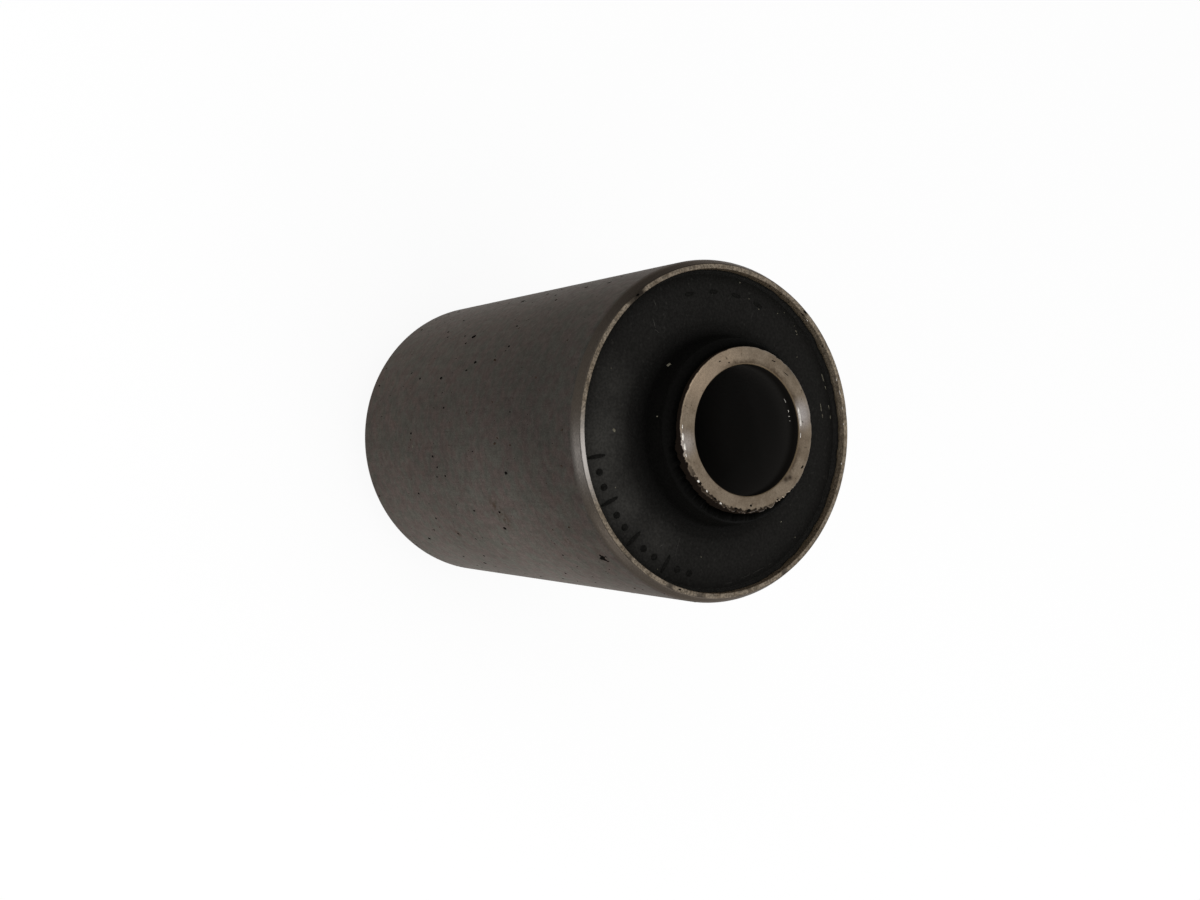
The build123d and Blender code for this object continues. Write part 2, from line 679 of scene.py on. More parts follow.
@dataclass(frozen=True)
class FacedSteel:
    """Thick steel tube: faced ends with turning marks, a rusty side and a dark bore with painted
    shade.
    """

    bore_radius: float
    side_radius: float
    end: float
    stains: tuple[Patch, ...]
    painted_cool_highlight: tuple[Patch, ...]
    painted_warm_light: tuple[Patch, ...]
    rusty_edge: tuple[Patch, ...]
    brown_edge: tuple[Patch, ...]

    face: Colour = (0.183, 0.146, 0.107)
    face_dull: Colour = (0.128, 0.098, 0.069)
    face_painted_highlight: Colour = (0.34, 0.315, 0.303)
    face_painted_light: Colour = (0.275, 0.212, 0.151)
    rust: Colour = (0.0135, 0.0092, 0.0062)
    side_black: Colour = (0.007, 0.005, 0.0038)
    brown: Colour = (0.05, 0.034, 0.021)
    bore_edge: Colour = (0.105, 0.078, 0.048)
    bore_mouth_painted_shade: Colour = (0.007, 0.0063, 0.0056)
    bore: Colour = (0.021, 0.0198, 0.0183)
    bore_deep_painted_light: Colour = (0.056, 0.0525, 0.0485)

    dull: Grain = Grain(1.4, 0.38, 0.68, 0, 0.8, detail=5)
    speckled: Grain = Grain(0.16, 0.34, 0.66, 0.9, 1.1)
    specks: Grain = Grain(0.4, 0.66, 0.72, 0, 0.7, detail=4)
    ragged: Grain = Grain(0.35, detail=3)
    satin: Grain = Grain(0.8, low=0.34, high=0.46, detail=3)
    pebbled: Grain = Grain(0.3, detail=3)
    turning_pitch: float = 0.12
    relief_depth: float = 0.008
    rougher_covered: float = 0.2
    metal: float = 0.95

    def material(self) -> bpy.types.Material:
        """Build the material."""
        graph = Graph("faced_steel")
        below_end = graph.step(graph.height(), self.end - 0.06, self.end - 0.16)
        outside = graph.step(graph.radius(), self.side_radius - 0.7, self.side_radius - 0.5)
        side = graph.both(below_end, outside)
        bore = graph.step(graph.radius(), self.bore_radius + 0.1, self.bore_radius + 0.02)
        colour = graph.blend(side, self._face(graph), self.side_black)
        colour = graph.blend(bore, colour, self._bore(graph))

        covered = graph.number("MAXIMUM", side, bore)
        turning = graph.rings(self.turning_pitch)
        graph.relief(graph.number("ADD", turning, graph.noise(self.pebbled)), self.relief_depth)
        return graph.surface(
            base_color=colour,
            roughness=graph.raised(graph.level(self.satin), covered, self.rougher_covered),
            metallic=graph.step(covered, 0, 1, self.metal, 0),
            specular_ior_level=0.0,
        )

    def _face(self, graph: Graph) -> Socket:
        """The end: dull clouds, painted light and highlights, turning marks, specks and rusty edges.

        Args:
            graph: the material's nodes.

        Returns:
            The colour.
        """
        colour = graph.overlaid(self.face, self.dull, self.face_dull)
        # Painted cool highlights at the bore's far edge and at the near outer edge.
        colour = graph.patched(colour, self.painted_cool_highlight, self.face_painted_highlight)
        # Painted warm light on one side of the end.
        colour = graph.patched(colour, self.painted_warm_light, self.face_painted_light)
        turning = graph.step(graph.rings(self.turning_pitch), 0.3, 0.7, 0.94, 1.06)
        colour = graph.shaded(colour, turning, graph.level(self.speckled))
        colour = graph.overlaid(colour, self.specks, self.rust)
        colour = graph.patched(colour, self.stains, self.rust)
        ragged = graph.number("ADD", graph.radius(), graph.noise(self.ragged))
        outermost = graph.step(ragged, self.side_radius - 0.05, self.side_radius + 0.1)
        colour = graph.patched(colour, self.rusty_edge, self.rust, outermost)
        innermost = graph.step(ragged, self.bore_radius + 1.25, self.bore_radius + 0.6)
        return graph.patched(colour, self.brown_edge, self.brown, innermost)

    def _bore(self, graph: Graph) -> Socket:
        """The bore's colour: brown at its edge, painted shade at its opening, painted light further
        in.

        Args:
            graph: the material's nodes.

        Returns:
            The colour.
        """
        height = graph.height()
        # Painted shade blackens the bore's opening, and painted light greys it further in.
        mouth_shade = graph.step(height, self.end - 0.1, self.end - 0.25)
        inside = graph.step(height, self.end - 0.9, self.end - 2.2)
        deep_light = graph.step(height, self.end - 2, self.end - 20)
        grey = graph.blend(deep_light, self.bore, self.bore_deep_painted_light)
        return graph.blend(inside, graph.blend(mouth_shade, self.bore_edge, self.bore_mouth_painted_shade), grey)


@dataclass(frozen=True)
class PlainFinish:
    """A small mark's finish: one colour, slightly broken by noise."""

    name: str
    colour: Colour
    roughness: float
    metallic: float = 0.0
    gloss: float = 0.0
    darkest: float = 0.6
    uneven: Grain = Grain(0.2, 0.35, 0.65)

    def material(self) -> bpy.types.Material:
        """Build the material."""
        graph = Graph(self.name)
        darker = tuple(channel * self.darkest for channel in self.colour)
        return graph.surface(
            base_color=graph.overlaid(self.colour, self.uneven, darker),
            roughness=self.roughness,
            metallic=self.metallic,
            specular_ior_level=self.gloss,
        )


# ------------ the three turned pieces


def outside_of(node: str) -> tuple[float, float]:
    """A solid's outside radius and the height of its upper end, in millimetres."""
    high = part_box(node)[1] / MM
    return max(high.x, high.y), high.z


@dataclass(frozen=True)
class OuterSleeve:
    """The thin outer tube, turned down at both ends."""

    radius: float
    end: float
    wall: float = 1.15
    lead_in_length: float = 1.1
    lead_in_depth: float = 0.6
    rim_round: float = 0.3
    inner_round: float = 0.08
    lead_in_round: float = 2.0
    uneven: tuple[Ripple, ...] = (Ripple(0.35, 18, 3.7), Ripple(0.2, 60, 9.1))
    nicks: Ripple = Ripple(1, 9, 21.3)
    nick_start: float = 0.32
    nick_share: float = 3.0
    worn_height: float = 0.5
    worn_depth: float = 0.05
    steps: int = 640

    @property
    def inside(self) -> float:
        """Radius of the tube's inner wall."""
        return self.radius - self.wall

    @property
    def lead_in_start(self) -> float:
        """Height at which the tube begins to narrow."""
        return self.end - self.lead_in_length

    def section(self) -> HalfSection:
        """The tube's half-section."""
        return HalfSection.both_ends(
            [
                Corner(self.inside, self.end, self.inner_round),
                Corner(self.radius - self.lead_in_depth, self.end, self.rim_round),
                Corner(self.radius, self.lead_in_start, self.lead_in_round),
            ]
        )

    def worn(self, angle: float, radius: float, height: float) -> tuple[float, float]:
        """Knock the rims about: shallow nicks at a few places, and a slightly uneven edge.

        Args:
            angle: where the point lies round the axis.
            radius: its radius before the wear.
            height: its height before the wear, which is below 0 at the lower end.

        Returns:
            Its worn radius and height.
        """
        at_rim = fade(abs(height), self.end - self.worn_height, self.end)
        side = math.copysign(1, height)
        nick = max(0.0, self.nicks.at(angle, side) - self.nick_start) * self.nick_share
        knocked = max(0.0, rippled(self.uneven, angle, side) + nick)
        return radius, height - side * (at_rim * self.worn_depth * knocked)

    def build(self, finish: bpy.types.Material) -> bpy.types.Object:
        """Make the tube and dress it."""
        piece = turned("outer_tube", self.section(), self.steps, self.worn, finish)
        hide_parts("outer_sleeve")
        return piece


@dataclass(frozen=True)
class InnerSleeve:
    """The thick inner tube that a bolt clamps."""

    radius: float
    end: float
    bore_radius: float = 7.1
    end_chamfer: float = 0.15
    bore_chamfer: float = 0.1
    edge_round: float = 0.05
    bruises: Ripple = Ripple(1, 12, 5.5)
    fine_bruises: Ripple = Ripple(0.3, 50, 2)
    bruise_start: float = 0.1
    knocked: Stretch = Stretch(15, 130, soft=15)
    bites: tuple[Ripple, ...] = (Ripple(2.6, 17, 8.3), Ripple(1.5, 45, 3.1))
    bite_level: float = 0.8
    worn_height: float = 0.6
    fully_worn_height: float = 0.1
    worn_width: float = 0.7
    fully_worn_width: float = 0.2
    worn_depth: float = 0.12
    steps: int = 600

    def section(self) -> HalfSection:
        """The tube's half-section, chamfered inside and outside."""
        return HalfSection.both_ends(
            [
                Corner(self.bore_radius, self.end - self.bore_chamfer, self.edge_round / 2),
                Corner(self.bore_radius + self.bore_chamfer, self.end, self.edge_round / 2),
                Corner(self.radius - self.end_chamfer, self.end, self.edge_round),
                Corner(self.radius, self.end - self.end_chamfer, self.edge_round),
                Corner(self.radius, self.end - self.worn_height),
            ]
        )

    def worn(self, angle: float, radius: float, height: float) -> tuple[float, float]:
        """Bruise the outer edge of both ends a little, and bite a stretch of the upper one.

        Args:
            angle: where the point lies round the axis.
            radius: its radius before the wear.
            height: its height before the wear, which is below 0 at the lower end.

        Returns:
            Its worn radius and height.
        """
        at_end = fade(abs(height), self.end - self.worn_height, self.end - self.fully_worn_height)
        outer = fade(radius, self.radius - self.worn_width, self.radius - self.fully_worn_width)
        side = math.copysign(1, height)
        bruise = max(0.0, self.bruises.at(angle, side) - self.bruise_start)
        bruise = max(0.0, bruise + self.fine_bruises.at(angle, side))
        if side > 0:
            bite = rippled(self.bites, angle, side, self.bite_level)
            bruise += self.knocked.share(angle) * max(0.0, bite)
        return radius - self.worn_depth * at_end * outer * bruise, height

    def build(self, finish: bpy.types.Material) -> bpy.types.Object:
        """Make the tube and dress it."""
        piece = turned("inner_tube", self.section(), self.steps, self.worn, finish)
        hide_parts("inner_sleeve")
        return piece


@dataclass(frozen=True)
class RubberBody:
    """The rubber: a ring that crowns at each end, a film up the wall and a collar."""

    inner_radius: float
    outer_radius: float
    rim: float
    end: float
    face_depth_at_wall: float = 1.5
    face_depth_at_collar: float = 1.2
    face_dome: float = 0.5
    film_thickness: float = 0.35
    film_edge_depth: float = 1.0
    crease_round: float = 0.12
    root_radius: float = 10.4
    root_round: float = 1.3
    shoulder_radius: float = 10.1
    shoulder_drop: float = 1.6
    shoulder_round: float = 0.7
    lip_drop: float = 0.7
    dome_steps: int = 12

    lip_ragged: tuple[Ripple, ...] = (Ripple(0.10, 10, 1.3), Ripple(0.07, 45, 7.7))
    film_ragged: tuple[Ripple, ...] = (Ripple(0.22, 12, 11.9), Ripple(0.12, 60, 13.1))
    torn: Stretch = Stretch(12, 100, soft=8)
    tears: tuple[Ripple, ...] = (Ripple(0.5, 22, 4.4), Ripple(0.25, 80, 6.1))
    tear_level: float = 0.45
    lip_width: float = 0.85
    film_edge_width: float = 0.25
    film_edge_height: float = 0.2
    steps: int = 720

    def crease(self) -> Vector:
        """Where the ring meets the film on the wall, as a radius and a height."""
        return Vector((self.outer_radius - self.film_thickness, self.rim - self.face_depth_at_wall))

    def root(self) -> Vector:
        """Where the ring meets the collar, as a radius and a height."""
        return Vector((self.root_radius, self.rim - self.face_depth_at_collar))

    def ring_height(self, radius: float) -> float:
        """Height of the ring's crowned face at a radius."""
        crease, root = self.crease(), self.root()
        share = (radius - root.x) / (crease.x - root.x)
        return root.y + (crease.y - root.y) * share + 4 * self.face_dome * share * (1 - share)

    def ring_slope(self, radius: float, gap: float = 0.1) -> float:
        """How steeply the ring's face rises outwards at a radius."""
        return (self.ring_height(radius + gap) - self.ring_height(radius)) / gap

    def collar_radius(self, height: float) -> float:
        """Radius of the collar's side at a height between its root and its shoulder."""
        root = self.root()
        share = (height - root.y) / (self.end - self.shoulder_drop - root.y)
        return root.x + (self.shoulder_radius - root.x) * share

    def section(self) -> HalfSection:
        """The rubber's half-section, in which the root's round replaces the crown's first chords."""
        crease, root = self.crease(), self.root()
        return HalfSection.both_ends(
            [
                Corner(self.inner_radius, self.end - self.lip_drop),
                Corner(self.shoulder_radius, self.end - self.shoulder_drop, self.shoulder_round),
                Corner(*root, self.root_round),
                *domed(root, crease, self.face_dome, self.dome_steps)[2:],
                Corner(*crease, self.crease_round),
                Corner(self.outer_radius, self.rim - self.film_edge_depth),
            ]
        )

    def worn(self, angle: float, radius: float, height: float) -> tuple[float, float]:
        """Make the lip and the film's edge ragged, and tear a stretch of the upper lip.

        Args:
            angle: where the point lies round the axis.
            radius: its radius before the wear.
            height: its height before the wear, which is below 0 at the lower end.

        Returns:
            Its worn radius and height.
        """
        side = math.copysign(1, height)
        lip = rippled(self.lip_ragged, angle, side)
        if side > 0:
            tear = rippled(self.tears, angle, side, self.tear_level)
            lip -= self.torn.share(angle) * max(0.0, tear)
        at_lip = fade(radius, self.inner_radius + self.lip_width, self.inner_radius)
        at_lip *= fade(abs(height), self.rim, self.end - self.shoulder_drop)
        film = rippled(self.film_ragged, angle, side)
        edge = self.rim - self.film_edge_depth
        at_film = fade(radius, self.outer_radius - self.film_edge_width, self.outer_radius)
        at_film *= fade(abs(height), edge - self.film_edge_height, edge)
        return radius, height + side * (at_lip * lip + at_film * film)

    def build(self, finish: bpy.types.Material) -> bpy.types.Object:
        """Make the rubber and dress it."""
        piece = turned("moulded_rubber_body", self.section(), self.steps, self.worn, finish)
        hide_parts("rubber_body")
        return piece


# ------------ small marks


class Skin(Enum):
    """The surfaces that marks are set on."""

    WALL = "outer wall"
    RIM = "rim"
    INNER_WALL = "outer sleeve's inner wall"
    RING = "rubber ring"
    COLLAR = "rubber collar"
    END_FACE = "inner sleeve's end face"
    BORE = "bore"


@dataclass(frozen=True)
class Mark:
    """A small mark: where it lies, and how long and wide it is.

    On the walls, the collar and in the bore, along is a height, and on the ends it is a radius. A
    turn of 0 lays the mark's length round the axis, and a width of 0 makes it as wide as long.
    """

    skin: Skin
    angle: float
    along: float
    length: float
    width: float = 0.0
    turn: float = 0.0


def marks_on(skin: Skin, *rows: tuple[float, ...]) -> list[Mark]:
    """Marks on one surface, from rows of angle, along, length, width and turn."""
    return [Mark(skin, *row) for row in rows]


@dataclass(frozen=True)
class Bush:
    """The three pieces together, which marks are placed on."""

    outer: OuterSleeve
    rubber: RubberBody
    inner: InnerSleeve

    def spot(self, mark: Mark) -> Matrix:
        """The frame of a mark: X round the axis, Z out of the surface, origin on it.

        Args:
            mark: the mark to place.

        Returns:
            A matrix in millimetres.
        """
        out, along = around(mark.angle), mark.along
        match mark.skin:
            case Skin.WALL:
                place, normal = out * self.outer.radius + UP * along, out
            case Skin.COLLAR:
                place, normal = out * self.rubber.collar_radius(along) + UP * along, out
            case Skin.INNER_WALL:
                place, normal = out * self.outer.inside + UP * along, -out
            case Skin.BORE:
                place, normal = out * self.inner.bore_radius + UP * along, -out
            case Skin.RIM:
                place, normal = out * along + UP * self.outer.end, UP
            case Skin.END_FACE:
                place, normal = out * along + UP * self.inner.end, UP
            case Skin.RING:
                place = out * along + UP * self.rubber.ring_height(along)
                normal = (UP - out * self.rubber.ring_slope(along)).normalized()
        tangent = UP.cross(out).normalized()
        frame = Matrix((tangent, normal.cross(tangent), normal)).transposed().to_4x4()
        return Matrix.Translation(place) @ frame @ Matrix.Rotation(math.radians(mark.turn), 4, "Z")


@dataclass(frozen=True)
class Flecks:
    """Small irregular scabs of one finish, each a low closed blob that is sunk into its surface."""

    name: str
    marks: Sequence[Mark]
    height: float
    sides: int = 9
    uneven: float = 0.3
    seed: int = 1
    foot_radius: float = 0.66
    top_radius: float = 0.5

    def build(self, bush: Bush, finish: bpy.types.Material, slot: str) -> bpy.types.Object:
        """Make all the blobs as one piece.

        Args:
            bush: the pieces that the marks lie on.
            finish: the material.
            slot: not used.

        Returns:
            The piece as an object.
        """
        dice = random.Random(self.seed)
        work = bmesh.new()
        for mark in self.marks:
            wide = mark.width or mark.length
            sunk = Matrix.Translation((0, 0, -self.height / 2))
            size = Matrix.Diagonal((mark.length, wide, 3 * self.height, 1))
            made = bmesh.ops.create_cone(
                work,
                cap_ends=True,
                cap_tris=False,
                segments=self.sides,
                radius1=self.foot_radius,
                radius2=self.top_radius,
                depth=1.0,
            )["verts"]
            for vert in made:
                vert.co.x *= 1 + dice.uniform(-self.uneven, self.uneven)
                vert.co.y *= 1 + dice.uniform(-self.uneven, self.uneven)
            place = Matrix.Scale(MM, 4) @ bush.spot(mark) @ sunk @ size
            bmesh.ops.transform(work, matrix=place, verts=made)
        bmesh.ops.recalc_face_normals(work, faces=work.faces)
        piece = finished(self.name, work, finish)
        return piece


class PitSize(Enum):
    """How far a pit reaches round the tube, and along it, which is the way the tube was drawn."""

    SMALL = (0.24, 0.44)
    MEDIUM = (0.34, 0.66)
    LARGE = (0.46, 0.80)


WALL_PITS = {
    PitSize.LARGE: [(-61, 0), (-40, -3), (46, 24.5)],
    PitSize.MEDIUM: [
        *[(-62, 14.5), (-62, 19.5), (-66, -21), (-22, -6), (14, 12.5), (36, 6.5), (46, -19)],
        *[(61, -10.5), (46.8, 24.7), (45.3, 24.8), (46.5, 24.1), (-27, 2)],
    ],
    PitSize.SMALL: [
        *[(-67, 6.5), (-66, -9.5), (-65, -23.5), (-64, 4.5), (-60, 8.5), (-60, -24.5), (-55, 11)],
        *[(-53, -12), (-52, -24.5), (-46, -13), (-37, -4), (-32, 9), (-24, 0.5), (-23, -12.5)],
        *[(-22, -25.5), (-10, -3), (-1, -12), (8, -6), (23, -13), (25, -26.5), (29, 1), (29, 7.5)],
        *[(34, -11.5), (41, -8), (52, -26.5), (54, -7), (57, -14.5), (60, 10.5), (67, 6.5)],
        *[(69, 0), (44.7, 24.5), (47.4, 25.0), (72, -13)],
    ],
}


def wall_pits() -> list[Mark]:
    """The black pits on the side that shows most."""
    return [
        Mark(Skin.WALL, angle, height, *size.value)
        for size, places in WALL_PITS.items()
        for angle, height in places
    ]


def scattered_on_wall(
    bush: Bush, count: int, seed: int, largest: float, span: tuple[float, float] = (-180, 180)
) -> list[Mark]:
    """Small marks spread at random over the outer wall, longest the way the tube was drawn.

    Args:
        bush: the pieces.
        count: how many marks.
        seed: picks the spread.
        largest: width of the largest mark round the tube; most are far smaller.
        span: the angles between which they lie.

    Returns:
        The marks.
    """
    dice = random.Random(seed)
    edge = bush.outer.lead_in_start
    marks = []
    for _ in range(count):
        size = largest * (0.3 + 0.7 * dice.random() ** 4)
        angle, height = dice.uniform(*span), dice.uniform(-edge, edge)
        length, turn = size * dice.uniform(1.5, 2.5), dice.uniform(-20, 20)
        marks.append(Mark(Skin.WALL, angle, height, size, length, turn))
    return marks


RIM_NICKS = (
    *marks_on(
        Skin.INNER_WALL,
        *[(-119, 28.1, 0.3, 0.22), (-113, 28.2, 0.26, 0.2), (-124, 27.9, 0.2)],
        *[(-131, 28.3, 0.4, 0.24), (-146, 28.2, 0.26, 0.2), (158, 28.0, 0.2)],
        *[(141, 28.1, 0.24, 0.18), (117, 28.2, 0.3, 0.22)],
    ),
    *marks_on(Skin.RIM, (-131, 18.2, 0.5, 0.2), (-52, 18.15, 0.3, 0.16), (71, 18.1, 0.4, 0.14)),
)

END_SPECKS = marks_on(
    Skin.END_FACE,
    *[(152, 8.5, 0.55, 0.2, -20), (92, 8.1, 0.24), (90, 8.6, 0.6, 0.3), (78, 8.55, 0.4, 0.2)],
    *[(118, 8.5, 0.3, 0.16), (58, 8.55, 0.4, 0.16), (41, 8.6, 0.4, 0.16), (-62, 8.2, 0.2, 0.12)],
    *[(-70, 7.6, 0.14), (-115, 8.3, 0.6, 0.1, 15), (-130, 8.1, 0.8, 0.08, 10)],
)

# Burrs on the inner sleeve's edges and in the bore, painted near white as glints.
EDGE_BURRS_AND_GLINTS = (
    *marks_on(
        Skin.END_FACE,
        *[(5, 8.68, 0.8, 0.2), (12, 8.6, 0.7, 0.26), (-2, 8.74, 0.4, 0.1), (18, 8.7, 0.3, 0.12)],
        *[(39, 8.56, 0.26, 0.2), (49, 8.54, 0.26, 0.16), (64, 8.63, 0.3, 0.16)],
        *[(-165, 7.36, 1.3, 0.2), (-173, 7.36, 0.8, 0.2), (176, 7.3, 0.5, 0.08)],
    ),
    *marks_on(
        Skin.BORE,
        *[(-167, 31.5, 0.14, 0.2), (-171, 31.5, 0.12, 0.16)],
        *[(-162, 31.6, 0.3, 0.06), (-152, 31.6, 0.5, 0.05)],
    ),
    *marks_on(
        Skin.INNER_WALL,
        *[(-160, 28.4, 0.3, 0.1), (-165, 28.42, 0.5, 0.1), (-171, 28.42, 0.3, 0.1)],
        *[(-177, 28.4, 0.2, 0.1), (168, 28.4, 0.24, 0.1), (-134, 28.3, 0.3, 0.1)],
    ),
)

# Pale dusty specks on the rubber, some of them painted glints near the film's edge.
DUST_AND_GLINTS = (
    *marks_on(
        Skin.RING,
        *[(0, 13.7, 0.4, 0.3, 40), (131, 13.6, 0.14), (-135, 16.4, 0.3, 0.16), (-133, 16.7, 0.1)],
        *[(-136, 16.2, 0.12, 0.2), (-126, 16.9, 0.14, 0.1), (-123, 16.1, 0.1, 0.14)],
        *[(-113, 15.0, 0.12), (-143, 14.3, 0.1), (-158, 17.0, 0.9, 0.14), (-162, 17.0, 0.4, 0.12)],
        *[(-169, 15.4, 0.8, 0.1), (-173, 15.5, 0.4, 0.08), (-170, 16.9, 0.5, 0.1)],
        *[(-174, 17.0, 0.4, 0.1), (133, 16.6, 0.12), (-102, 17.1, 0.2, 0.12), (-107, 15.6, 0.1)],
        *[(24, 14.8, 0.12), (62, 16.9, 0.14), (80, 14.0, 0.1), (-25, 15.4, 0.1)],
    ),
    *marks_on(Skin.COLLAR, (-43, 28.9, 0.4, 0.6), (-8, 30.4, 0.14)),
    *marks_on(Skin.WALL, (4, -11.5, 0.2, 0.14)),
)

# Light scuff lines, and a painted sheen line along the film's edge.
SCUFFS_AND_SHEEN = marks_on(
    Skin.RING,
    *[(-53.5, 14.3, 1.0, 0.07, 70), (-52.5, 13.5, 0.6, 0.06, 110), (-59, 16.0, 0.7, 0.08, 80)],
    *[(66, 13.6, 1.6, 0.05, 96), (58, 14.6, 0.8, 0.05, 60), (-88, 15.2, 0.5, 0.06, 30)],
    *[(96, 17.0, 0.9, 0.05), (104, 16.8, 1.0, 0.05), (111, 16.8, 1.4, 0.06), (117, 16.9, 0.5, 0.06)],
)


def mould_marks() -> list[Mark]:
    """A plain row of raised ticks and dots on the ring, as a mould's cavity leaves them."""
    tick, dot, dash = (0.4, 1.9), (0.7, 0.7), (1.2, 0.4)
    row = [(10 + 6 * step, 16.0, *(dot if step % 3 else tick)) for step in range(12)]
    return marks_on(Skin.RING, *row, *((-112 + 12 * step, 15.4, *dash) for step in range(4)))


# ------------ stage


def stood(
    thing: bpy.types.Light | bpy.types.Camera, place: Vector, toward: Vector, roll: float = 0
) -> bpy.types.Object:
    """Stand a lamp or a camera in the scene, so that it looks away from a direction.

    Args:
        thing: the lamp or the camera.
        place: where it stands, in millimetres.
        toward: the direction that its back has.
        roll: its turn about that direction, in degrees.

    Returns:
        The object that holds it.
    """
    holder = bpy.data.objects.new(thing.name, thing)
    holder.location = place * MM
    turn = toward.to_track_quat("Z", "Y") @ Quaternion((0, 0, 1), math.radians(roll))
    holder.rotation_euler = turn.to_euler()
    bpy.context.scene.collection.objects.link(holder)
    return holder


@dataclass(frozen=True)
class Softbox:
    """A square lamp that faces the middle of the bush.

    Its direction is an azimuth, as the angles of this file, and an elevation. Its brightness is a
    radiance, at which 1 is white.
    """

    name: str
    azimuth: float
    elevation: float
    distance: float
    side: float
    brightness: float

    def build(self) -> None:
        """Make the lamp."""
        lamp = bpy.data.lights.new(self.name, "AREA")
        lamp.shape = "SQUARE"
        lamp.size = self.side * MM
        lamp.energy = self.brightness * math.pi * lamp.size**2
        toward = direction(self.azimuth, self.elevation)
        stood(lamp, toward * self.distance, toward)


@dataclass(frozen=True)
class Viewpoint:
    """The camera: where it stands, which way it looks back to, and how it is rolled."""

    place: tuple[float, float, float] = (2.95, -90.22, 145.86)
    azimuth: float = 0.66
    elevation: float = 57.69
    roll: float = 89.21
    focal_length: float = 40.2
    sensor_width: float = 36.0
    nearest: float = 10.0

    def build(self) -> None:
        """Make the camera and make it the scene's own."""
        camera = bpy.data.cameras.new("view")
        camera.lens = self.focal_length
        camera.sensor_width = self.sensor_width
        camera.clip_start = self.nearest * MM
        toward = direction(self.azimuth, self.elevation)
        bpy.context.scene.camera = stood(camera, Vector(self.place), toward, self.roll)


@dataclass(frozen=True)
class Stage:
    """A pale floor under the bush, an even pale world and soft lamps."""

    floor_height: float
    floor_radius: float = 2500.0
    floor_sides: int = 96
    world_level: float = 0.75
    floor_white: float = 0.95
    glow: float = 0.88

    lamps: tuple[Softbox, ...] = (
        Softbox("front_high", 5, 50, 380, 60, 6.0),
        Softbox("front_low", 12, 8, 400, 170, 4.0),
        Softbox("glint", 18, 32, 400, 30, 22.0),
        Softbox("left", -50, 25, 420, 250, 1.25),
        Softbox("right_front", 60, 10, 420, 200, 3.5),
        Softbox("right_side", 90, 15, 420, 250, 1.0),
        Softbox("right_back", 120, 10, 420, 250, 2.9),
    )

    def build(self) -> None:
        """Make the floor, the world and the lamps, and set the view transform."""
        self._floor()
        self._world()
        for lamp in self.lamps:
            lamp.build()
        bpy.context.scene.view_settings.view_transform = "Standard"

    def _floor(self) -> None:
        """A wide disc that looks white, yet takes the shadow of the bush."""
        work = bmesh.new()
        bmesh.ops.create_circle(
            work,
            cap_ends=True,
            segments=self.floor_sides,
            radius=self.floor_radius * MM,
            matrix=Matrix.Translation((0, 0, self.floor_height * MM)),
        )
        mesh = bpy.data.meshes.new("floor")
        work.to_mesh(mesh)
        work.free()
        floor = bpy.data.objects.new("floor", mesh)
        bpy.context.scene.collection.objects.link(floor)
        mesh.materials.append(self._floor_finish())

    def _floor_finish(self) -> bpy.types.Material:
        """Matt white, most of which is a plain glow to what looks at it or mirrors it."""
        graph = Graph("floor_white")
        white = (self.floor_white,) * 3
        graph.surface(base_color=white, roughness=1.0, specular_ior_level=0.0)
        light = graph.made("ShaderNodeEmission", 0, {"Color": (1.0, 1.0, 1.0), "Strength": 1.0})
        share = graph.number("MULTIPLY", graph.seen(), self.glow)
        inputs = {"Fac": share, 1: graph.shader.outputs[0], 2: light}
        graph.put(graph.made("ShaderNodeMixShader", 0, inputs), graph.output.inputs["Surface"])
        return graph.material

    def _world(self) -> None:
        """An even pale surround, which looks white where it is seen or mirrored."""
        world = bpy.data.worlds.new("studio")
        world.use_nodes = True
        nodes = Nodes(world.node_tree)
        background = nodes.tree.nodes["Background"]
        nodes.put((1.0, 1.0, 1.0), background.inputs["Color"])
        strength = nodes.step(nodes.seen(), 0, 1, self.world_level, 1.0)
        nodes.put(strength, background.inputs["Strength"])
        bpy.context.scene.world = world


# ------------ making


def on_wall(radius: float, *rows: tuple[float, ...]) -> tuple[Patch, ...]:
    """Patches on a wall of one radius, from rows of angle, height, reach and strength."""
    return tuple(Patch(angle, radius, *rest) for angle, *rest in rows)


def on_end(height: float, *rows: tuple[float, ...]) -> tuple[Patch, ...]:
    """Patches on an end at one height, from rows of angle, radius, reach and strength."""
    return tuple(Patch(angle, radius, height, *rest) for angle, radius, *rest in rows)


def coated_steel(bush: Bush) -> bpy.types.Material:
    """Make the outer sleeve's finish, with stains, wear, and painted light, shade and highlights.

    Args:
        bush: the pieces' sizes.

    Returns:
        The material.
    """
    outer = bush.outer
    return CoatedSteel(
        inside=outer.inside,
        lead_in_start=outer.lead_in_start,
        rim_start=outer.end - 0.06,
        film_edge=outer.end - bush.rubber.film_edge_depth,
        stains=on_wall(
            outer.radius,
            *[(27, 7, 2.0, 0.9), (32, 8, 2.0, 0.9), (46, 24.5, 1.2), (28, 28, 1.0)],
            *[(-32, 28, 1.2), (-10, 11.5, 1.2, 0.5), (41, -8, 1.0), (40, 19.5, 0.9)],
        ),
        # Painted shade on the wall's upper left, and painted light on its right.
        painted_shade=on_wall(outer.radius, (-28, 20, 26, 0.9), (-30, 0, 24, 0.4)),
        painted_light=on_wall(outer.radius, (57, 6, 24, 0.9), (57, -18, 22, 0.8)),
        # Brown with painted shade on the lead-in's left.
        brown_and_painted_shade=on_wall(outer.radius, (-62, outer.end, 20, 0.9)),
        # Scrapes on the far inner wall, which also carry a painted highlight.
        scraped_and_highlight=on_wall(outer.inside - 0.2, (-164, outer.end, 17, 0.7)),
        # A painted highlight on the rim's edge and the lead-in.
        painted_highlight=on_wall(outer.radius - 0.7, (9, outer.end, 6.0, 0.9)),
    ).material()


